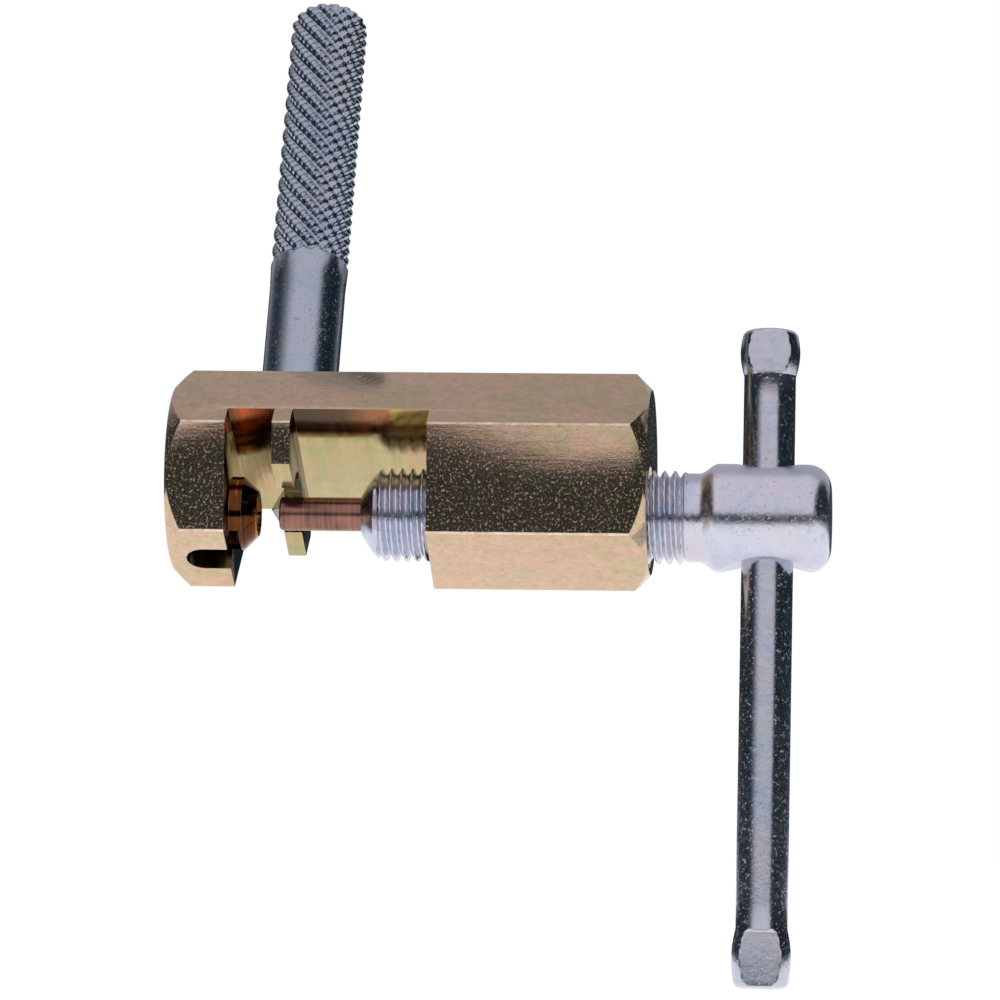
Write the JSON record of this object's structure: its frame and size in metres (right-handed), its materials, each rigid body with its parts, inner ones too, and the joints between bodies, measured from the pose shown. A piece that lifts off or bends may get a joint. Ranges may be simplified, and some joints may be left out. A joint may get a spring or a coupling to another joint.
{
  "type": "bicycle chain tool",
  "caption": "Hand chain tool: hexagon bar body with chain cradle and spoke key, knurled handle, screw spindle with drive pin and sliding T-bar.",
  "frame": {"origin": "on the spindle's axis at the tip of the anvil nose, where the chain's outer plate rests", "axes": "+X along the spindle from the anvil towards the T-bar; the handle leans 30 degrees back from +Z towards +Y; the T-bar leans 6 degrees the same way, its long end down"},
  "size_m": [0.0665, 0.0411, 0.1017],
  "materials": {
    "body_plating": "yellow passivated zinc plate on milled steel, satin",
    "handle_steel": "blue-grey zinc plate, knurled grip",
    "spindle_plating": "bright zinc plate, cut thread",
    "pin_steel": "hardened steel with a bronze temper colour",
    "bar_plating": "bright zinc plate, satin"
  },
  "bodies": {
    "frame": {"body": "body_plating", "handle": "handle_steel"},
    "feed": {"drive_pin": "pin_steel"},
    "screw": {"spindle": "spindle_plating"},
    "bar": {"t_bar": "bar_plating"}
  },
  "joints": [
    {"name": "feed_slide", "type": "slide", "parent": "frame", "child": "feed", "axis": [1, 0, 0], "range_m": [-0.0059, 0.0119]},
    {"name": "spindle_turn", "type": "hinge", "parent": "feed", "child": "screw", "pos_m": [0.02, 0, 0], "axis": [1, 0, 0], "range_deg": [-2008, 4049]},
    {"name": "bar_slide", "type": "slide", "parent": "screw", "child": "bar", "axis": [0, 0.1045, 0.9945], "range_m": [-0.0086, 0.035]}
  ],
  "couplings": [
    {"joint": "spindle_turn", "follows": "feed_slide", "rad_per_m": 5937.1}
  ]
}
